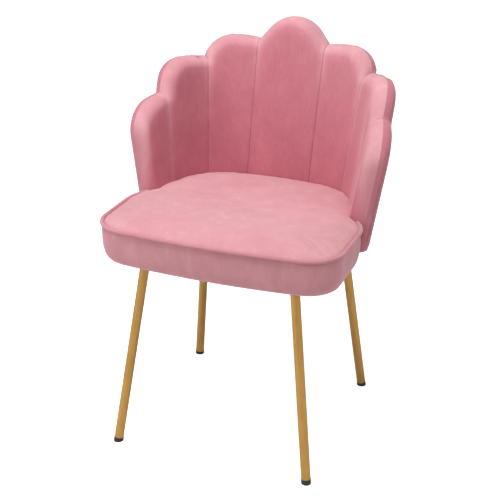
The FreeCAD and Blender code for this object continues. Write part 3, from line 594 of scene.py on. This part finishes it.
# Held: the sewn ring, and everything from a later ring inward; pressure; largest move
for cover, later, pressure, cap in ((top_cover, 15, 1.6, 0.004),
                                    (side_cover, 11, -1.6, 0.003)):
    total = len(cover.data.vertices)
    held = list(range(len(LOOP))) + list(range(len(LOOP) * later, total))
    inflate(cover, held, pressure, cap)


# Tubes along lines: the piping, the sewn rim and the stitches
def tube(name, line, radius, sides):
    """A tube with closed ends along a line."""
    ahead = np.gradient(line, axis=0)
    ahead /= np.linalg.norm(ahead, axis=1)[:, None]
    aside = np.cross(ahead, [0.0, 0.0, 1.0])
    aside /= np.maximum(np.linalg.norm(aside, axis=1), 1e-6)[:, None]
    over = np.cross(aside, ahead)
    points, faces = [], []
    for side in range(sides):
        turn = 2.0 * math.pi * side / sides
        points.append(line + aside * (radius * math.cos(turn)) + over * (radius * math.sin(turn)))
    points = np.stack(points, 1).reshape(-1, 3)
    for i in range(len(line) - 1):
        for j in range(sides):
            k = (j + 1) % sides
            faces.append((i * sides + j, i * sides + k, (i + 1) * sides + k, (i + 1) * sides + j))
    faces.append(tuple(range(sides))[::-1])
    faces.append(tuple((len(line) - 1) * sides + j for j in range(sides)))
    return mesh_object(name, points, faces)


def at_welt(flat):
    """Places at the piping's level."""
    return np.concatenate([flat, np.full((len(flat), 1), WELT_LEVEL)], 1)


# The piping follows the seen outline, and goes on for 5 points behind the channels at each end
tail_right = at_welt(behind[:5] + INWARD[VISIBLE_COUNT:VISIBLE_COUNT + 5] * 0.004)
tail_left = at_welt(behind[-5:] + INWARD[-5:] * 0.004)
welt_line = at_welt(visible + INWARD[:VISIBLE_COUNT] * 0.0004)
welt_line = evenly(np.concatenate([tail_left, welt_line, tail_right]), 420)
piping = tube("velvet_piping", welt_line, 0.0042, 14)


# Rise at which the seam and the stitches end at the arms' feet
RIM_FOOT = -0.066


def rim_line(inset):
    """Line at a distance inside the scalloped outline, from arm to arm."""
    points = evenly(EDGE_WHOLE, 1400)
    ahead = np.gradient(points, axis=0)
    ahead /= np.linalg.norm(ahead, axis=1)[:, None]
    inner = points + np.stack([ahead[:, 1], -ahead[:, 0]], -1) * inset
    keep = edge_distance(inner[:, 0], inner[:, 1]) > inset * 0.97
    return inner[keep & (inner[:, 1] > RIM_FOOT)]


def on_outer(inner, proud=0.0):
    """Points on the outer face, at the thickness that the round edge has there."""
    gap = np.clip(edge_distance(inner[:, 0], inner[:, 1]) / ROUND, 0.0, 1.0)
    depth = MEETING + (DEPTH - MEETING) * np.sqrt(1.0 - (1.0 - gap) ** 2) + proud
    return spot(inner[:, 0], inner[:, 1], depth)


rim = tube("velvet_rim_seam", on_outer(evenly(rim_line(0.0045), 900)), 0.0011, 6)


# A stitch's cross sections: share of its length and of its thickness
STITCH = ((0.0, 0.25), (0.2, 0.9), (0.5, 1.0), (0.8, 0.9), (1.0, 0.25))


def stitches(name, lines, pitch, length, thick):
    """Short threads laid end to end along lines."""
    points, faces = [], []
    turns = math.pi / 3.0 * np.arange(6)
    for line in lines:
        run = np.concatenate([[0.0], np.cumsum(np.linalg.norm(np.diff(line, axis=0), axis=1))])
        count = int(run[-1] / pitch)
        for step in range(count):
            at = [run[-1] * step / count, run[-1] * step / count + length]
            ends = [np.array([np.interp(a, run, line[:, c]) for c in range(3)]) for a in at]
            ahead = ends[1] - ends[0]
            ahead /= max(np.linalg.norm(ahead), 1e-9)
            aside = np.cross(ahead, [0.3, -0.8, 0.5])
            aside /= np.linalg.norm(aside)
            over = np.cross(ahead, aside)
            start = len(points)
            for share, wide in STITCH:
                middle = ends[0] + (ends[1] - ends[0]) * share
                for turn in turns:
                    out = aside * math.cos(turn) + over * math.sin(turn)
                    points.append(middle + out * thick * wide)
            for i in range(len(STITCH) - 1):
                for j in range(6):
                    a, b = start + i * 6 + j, start + i * 6 + (j + 1) % 6
                    faces.append((a, b, b + 6, a + 6))
            faces.append(tuple(start + j for j in range(6))[::-1])
            faces.append(tuple(start + (len(STITCH) - 1) * 6 + j for j in range(6)))
    return mesh_object(name, points, faces)


stitch_lines = []
for inset in (0.0075, 0.0016):
    whole = rim_line(inset)
    for side in (-1.0, 1.0):
        arm = whole[(whole[:, 0] * side > SEAMS[2] + 0.03) & (whole[:, 1] < 0.15)]
        stitch_lines.append(on_outer(evenly(arm, 300), 0.0002))
thread = stitches("thread_arm_topstitch", stitch_lines, 0.0052, 0.0036, 0.0005)


# Materials: velvet blended from a painted shade colour to a painted light colour, and its sheen
# The velvet's painted shade colour, its painted light colour, and the tint of its sheen
SHADED_VELVET = (0.425, 0.115, 0.152)
LIT_VELVET = (0.600, 0.300, 0.330)
SHEEN = (1.0, 0.72, 0.76)


def node_material(name):
    """A material with nothing but its shader and output."""
    material = bpy.data.materials.new(name)
    material.use_nodes = True
    tree = material.node_tree
    tree.nodes.clear()
    shader = tree.nodes.new("ShaderNodeBsdfPrincipled")
    out = tree.nodes.new("ShaderNodeOutputMaterial")
    tree.links.new(shader.outputs[0], out.inputs[0])
    return material, tree, shader


def noise(tree, coords, scale, detail=4.0, rough=0.55, distort=0.0, stretch=(1, 1, 1)):
    """Noise over stretched coordinates, as a value."""
    mapping = tree.nodes.new("ShaderNodeMapping")
    mapping.inputs["Scale"].default_value = stretch
    tree.links.new(coords, mapping.inputs["Vector"])
    node = tree.nodes.new("ShaderNodeTexNoise")
    node.inputs["Scale"].default_value = scale
    node.inputs["Detail"].default_value = detail
    node.inputs["Roughness"].default_value = rough
    node.inputs["Distortion"].default_value = distort
    tree.links.new(mapping.outputs[0], node.inputs["Vector"])
    return node.outputs["Fac"]


def ramp(tree, value, stops):
    """Colours by a value, from pairs of place and colour."""
    node = tree.nodes.new("ShaderNodeValToRGB")
    elements = node.color_ramp.elements
    while len(elements) < len(stops):
        elements.new(0.5)
    for element, (at, colour) in zip(elements, stops):
        element.position = at
        element.color = (*colour, 1.0)
    tree.links.new(value, node.inputs[0])
    return node.outputs[0]


def mixed(tree, kind, share, a, b):
    """Two colours blended; each input is a socket or a plain value."""
    node = tree.nodes.new("ShaderNodeMix")
    node.data_type = "RGBA"
    node.blend_type = kind
    for socket, value in ((node.inputs[0], share), (node.inputs[6], a), (node.inputs[7], b)):
        if isinstance(value, bpy.types.NodeSocket):
            tree.links.new(value, socket)
        elif isinstance(value, float):
            socket.default_value = value
        else:
            socket.default_value = (*value, 1.0)
    return node.outputs[2]


def bumped(tree, shader, layers):
    """Bump from layers of height, strength and distance."""
    last = None
    for height, strength, distance in layers:
        node = tree.nodes.new("ShaderNodeBump")
        node.inputs["Strength"].default_value = strength
        node.inputs["Distance"].default_value = distance
        tree.links.new(height, node.inputs["Height"])
        if last is not None:
            tree.links.new(last, node.inputs["Normal"])
        last = node.outputs[0]
    tree.links.new(last, shader.inputs["Normal"])


def velvet(name, sheen, worn=0.5, lined_by=0.4):
    """Short pile: brushed patches, faint upright rows and a fine grain, with a pale sheen."""
    material, tree, shader = node_material(name)
    coords = tree.nodes.new("ShaderNodeTexCoord").outputs["Object"]
    patches = noise(tree, coords, 7.0, 3.0, 0.5, 0.9)
    brushed = noise(tree, coords, 42.0, 5.0, 0.62, 0.4, (1.0, 1.0, 0.45))
    rows = noise(tree, coords, 330.0, 2.0, 0.5, 0.0, (1.0, 1.0, 0.03))
    grain = noise(tree, coords, 1500.0, 2.0, 0.6)
    # The base colour goes from painted shade to painted light by the stored attribute
    painted_light = tree.nodes.new("ShaderNodeAttribute")
    painted_light.attribute_name = "painted_light"
    base = mixed(tree, "MIX", painted_light.outputs["Fac"], SHADED_VELVET, LIT_VELVET)
    clouds = ramp(tree, patches, [(0.34, (0.45,) * 3), (0.66, (0.55,) * 3)])
    base = mixed(tree, "SOFT_LIGHT", 0.8, base, clouds)
    marks = ramp(tree, brushed, [(0.3, (0.42,) * 3), (0.55, (0.5,) * 3), (0.76, (0.66,) * 3)])
    base = mixed(tree, "SOFT_LIGHT", worn, base, marks)
    upright_rows = ramp(tree, rows, [(0.35, (0.44,) * 3), (0.65, (0.56,) * 3)])
    base = mixed(tree, "SOFT_LIGHT", lined_by, base, upright_rows)
    specks = ramp(tree, grain, [(0.3, (0.42,) * 3), (0.7, (0.58,) * 3)])
    base = mixed(tree, "SOFT_LIGHT", 0.5, base, specks)
    tree.links.new(base, shader.inputs["Base Color"])
    shader.inputs["Roughness"].default_value = 0.92
    shader.inputs["Specular IOR Level"].default_value = 0.12
    shader.inputs["Sheen Weight"].default_value = sheen
    shader.inputs["Sheen Roughness"].default_value = 0.42
    shader.inputs["Sheen Tint"].default_value = (*SHEEN, 1.0)
    bumped(tree, shader, [(brushed, 0.10, 0.002), (grain, 0.22, 0.0004)])
    return material


def give(obj, material):
    """Makes this the object's only material."""
    obj.data.materials.clear()
    obj.data.materials.append(material)


def paint_light_on(obj, values):
    """Stores the painted light and shade of each point, for the velvet to read."""
    attribute = obj.data.attributes.new("painted_light", "FLOAT", "POINT")
    attribute.data.foreach_set("value", np.clip(values, 0.0, 1.0).astype(np.float32))


inner_velvet = velvet("inner_velvet", 0.5)
outer_velvet = velvet("outer_velvet", 0.5, 0.4)
seat_velvet = velvet("seat_velvet", 0.6, 0.7, 0.15)
piping_velvet = velvet("piping_velvet", 0.6, 0.4, 0.1)
for obj, painted_light in channels:
    give(obj, inner_velvet)
    paint_light_on(obj, painted_light)
# Painted light and shade of whole pieces: the seat's top palest, its side and the piping less, the
# outer panel and the rim darkest
for obj, material, painted_light in ((outer, outer_velvet, 0.34), (top_cover, seat_velvet, 0.92),
                            (side_cover, seat_velvet, 0.74), (piping, piping_velvet, 0.6),
                            (rim, piping_velvet, 0.2)):
    give(obj, material)
    paint_light_on(obj, np.full(len(obj.data.vertices), painted_light))


def metal(name, colour, rough, metallic, coat=0.0):
    """Painted or plated metal with faint clouds, streaks and orange peel."""
    material, tree, shader = node_material(name)
    coords = tree.nodes.new("ShaderNodeTexCoord").outputs["Object"]
    clouds = noise(tree, coords, 18.0, 4.0, 0.5)
    streaks = noise(tree, coords, 160.0, 3.0, 0.6, 0.0, (1.0, 1.0, 0.05))
    peel = noise(tree, coords, 850.0, 2.0, 0.5)
    dark, pale = tuple(0.92 * c for c in colour), tuple(min(1.07 * c, 1) for c in colour)
    base = ramp(tree, clouds, [(0.3, dark), (0.7, pale)])
    dull = ramp(tree, streaks, [(0.35, (0.45,) * 3), (0.65, (0.56,) * 3)])
    tree.links.new(mixed(tree, "SOFT_LIGHT", 0.5, base, dull), shader.inputs["Base Color"])
    spread = tree.nodes.new("ShaderNodeMapRange")
    spread.inputs["To Min"].default_value = rough - 0.05
    spread.inputs["To Max"].default_value = rough + 0.07
    tree.links.new(clouds, spread.inputs["Value"])
    tree.links.new(spread.outputs[0], shader.inputs["Roughness"])
    shader.inputs["Metallic"].default_value = metallic
    shader.inputs["Coat Weight"].default_value = coat
    shader.inputs["Coat Roughness"].default_value = 0.25
    bumped(tree, shader, [(peel, 0.06, 0.0004)])
    return material


gold = metal("gold_paint", (0.51, 0.275, 0.066), 0.38, 0.72, 0.15)
zinc = metal("zinc_steel", (0.55, 0.55, 0.53), 0.35, 1.0)


def plain(name, dark, pale, rough, scale, depth, stretch=(1, 1, 1), spec=0.4):
    """A finish between two colours, in patches or along a stretched grain."""
    material, tree, shader = node_material(name)
    coords = tree.nodes.new("ShaderNodeTexCoord").outputs["Object"]
    broad = noise(tree, coords, scale, 6.0, 0.6, 0.5, stretch)
    fine = noise(tree, coords, scale * 18.0, 3.0, 0.6, 0.0, stretch)
    base = ramp(tree, broad, [(0.3, dark), (0.7, pale)])
    grains = ramp(tree, fine, [(0.3, (0.43,) * 3), (0.7, (0.57,) * 3)])
    tree.links.new(mixed(tree, "SOFT_LIGHT", 0.6, base, grains), shader.inputs["Base Color"])
    shader.inputs["Roughness"].default_value = rough
    shader.inputs["Specular IOR Level"].default_value = spec
    bumped(tree, shader, [(fine, 0.2, depth)])
    return material


looks = {
    "gold_paint": gold,
    "zinc_steel": zinc,
    "glide_plastic": plain("glide_plastic", (0.012,) * 3, (0.022,) * 3, 0.45, 60.0, 0.0003),
    "plywood": plain("plywood", (0.42, 0.27, 0.13), (0.62, 0.44, 0.25), 0.6, 9.0, 0.0005,
                     (1, 6, 1)),
    "softwood": plain("softwood", (0.58, 0.40, 0.20), (0.74, 0.56, 0.32), 0.6, 8.0, 0.0005,
                      (1, 7, 1)),
    "foam": plain("foam", (0.70, 0.62, 0.38), (0.80, 0.73, 0.50), 0.95, 30.0, 0.001),
    "dust_cloth": plain("dust_cloth", (0.010,) * 3, (0.026,) * 3, 0.95, 80.0, 0.0005, spec=0.1),
}
thread_look = plain("thread_pink", (0.50, 0.20, 0.25), (0.66, 0.30, 0.36), 0.7, 300.0, 0.0003)
give(thread, thread_look)
slots = {row["node"]: row["material_slot"] for row in frame["record"]["subparts"]}
for name, obj in frame["nodes"].items():
    if slots.get(name) in looks:
        give(obj, looks[slots[name]])


# Camera at the photograph's place
camera = bpy.data.objects.new("Camera", bpy.data.cameras.new("Camera"))
bpy.context.scene.collection.objects.link(camera)
bpy.context.scene.camera = camera
camera.data.lens = 84.26
camera.data.sensor_width = 36.0
camera.data.clip_end = 100.0
azimuth, elevation, roll = math.radians(21.22), math.radians(23.86), math.radians(0.3194)
back = Vector((math.sin(azimuth) * math.cos(elevation), -math.cos(azimuth) * math.cos(elevation),
               math.sin(elevation)))
across = Vector((math.cos(azimuth), math.sin(azimuth), 0.0))
over = back.cross(across)
turned = Matrix((across, over, back)).transposed() @ Matrix.Rotation(roll, 3, "Z")
camera.matrix_world = Matrix.Translation((0.8223, -2.1019 + SHIFT, 1.3939)) @ turned.to_4x4()


# Studio: white surroundings, soft lamps and a white floor that keeps the shadow
def lamp(name, place, aim, size_x, size_y, power):
    """A rectangular lamp turned to a point."""
    data = bpy.data.lights.new(name, "AREA")
    data.shape = "RECTANGLE"
    data.size, data.size_y, data.energy = size_x, size_y, power
    obj = bpy.data.objects.new(name, data)
    bpy.context.scene.collection.objects.link(obj)
    obj.location = place
    way = Vector(aim) - Vector(place)
    obj.rotation_mode = "QUATERNION"
    obj.rotation_quaternion = way.to_track_quat("-Z", "Y")
    return obj


lamp("Overhead", (-0.25, -0.6, 2.5), (0.0, -0.05, 0.45), 1.3, 1.3, 42.0)
lamp("Front_left", (-1.7, -2.2, 1.28), (0.0, 0.0, 0.45), 1.2, 1.6, 28.0)
lamp("Right_side", (2.1, -0.5, 1.4), (0.0, 0.0, 0.45), 1.0, 1.6, 12.0)
lamp("Behind", (0.3, 2.3, 1.7), (0.0, 0.0, 0.5), 1.6, 1.4, 10.0)

def fresh(tree, kind):
    """An emptied node tree, with its output node."""
    tree.nodes.clear()
    return tree.nodes.new(kind)


def rays(tree, *kinds):
    """1 for rays of the given kinds, else 0."""
    path = tree.nodes.new("ShaderNodeLightPath")
    value = path.outputs[kinds[0]]
    for kind in kinds[1:]:
        node = tree.nodes.new("ShaderNodeMath")
        node.operation = "MAXIMUM"
        tree.links.new(value, node.inputs[0])
        tree.links.new(path.outputs[kind], node.inputs[1])
        value = node.outputs[0]
    return value


# The object is lit by a dimmer world than the white one that is seen
world = bpy.data.worlds.new("Studio")
bpy.context.scene.world = world
world.use_nodes = True
tree = world.node_tree
out = fresh(tree, "ShaderNodeOutputWorld")
mix = tree.nodes.new("ShaderNodeMixShader")
tree.links.new(rays(tree, "Is Camera Ray", "Is Transmission Ray", "Is Glossy Ray"), mix.inputs[0])
for socket, strength in ((mix.inputs[1], 0.31), (mix.inputs[2], 1.0)):
    background = tree.nodes.new("ShaderNodeBackground")
    background.inputs[0].default_value = (1.0, 1.0, 1.0, 1.0)
    background.inputs[1].default_value = strength
    tree.links.new(background.outputs[0], socket)
tree.links.new(mix.outputs[0], out.inputs[0])

# The floor is lifted to white for the camera, and keeps the shadow
FLOOR_HALF, FLOOR_DROP, FLOOR_GLOW = 9, -0.0006, 0.82
corners = [(x * FLOOR_HALF, y * FLOOR_HALF, 0) for x, y in ((-1, -1), (1, -1), (1, 1), (-1, 1))]
floor = mesh_object("studio_floor", corners, [(0, 1, 2, 3)])
floor.location.z = FLOOR_DROP
material = bpy.data.materials.new("floor_white")
material.use_nodes = True
tree = material.node_tree
out = fresh(tree, "ShaderNodeOutputMaterial")
diffuse = tree.nodes.new("ShaderNodeBsdfDiffuse")
glow = tree.nodes.new("ShaderNodeEmission")
joined = tree.nodes.new("ShaderNodeAddShader")
scaled = tree.nodes.new("ShaderNodeMath")
scaled.operation = "MULTIPLY"
scaled.inputs[1].default_value = FLOOR_GLOW
diffuse.inputs[0].default_value = (0.80, 0.80, 0.80, 1.0)
tree.links.new(rays(tree, "Is Camera Ray"), scaled.inputs[0])
tree.links.new(scaled.outputs[0], glow.inputs[1])
tree.links.new(diffuse.outputs[0], joined.inputs[0])
tree.links.new(glow.outputs[0], joined.inputs[1])
tree.links.new(joined.outputs[0], out.inputs[0])
give(floor, material)
floor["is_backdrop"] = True
bpy.context.scene.view_settings.view_transform = "Standard"

# What each piece rides on and stands for
for (obj, painted_light), name in zip(channels, channel_names):
    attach(obj, "root")
    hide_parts("channel_pad_" + name)
for obj, nodes, name in ((outer, ("back_outer_pad",), "outer_velvet"),
                         (top_cover, ("seat_top_cover",), "seat_velvet"),
                         (side_cover, ("seat_side_cover", "seat_foam"), "seat_velvet"),
                         (piping, ("seat_piping",), "piping_velvet"),
                         (rim, (), "piping_velvet"), (thread, (), "piping_velvet")):
    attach(obj, "root")
    if nodes:
        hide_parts(*nodes)

low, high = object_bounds()
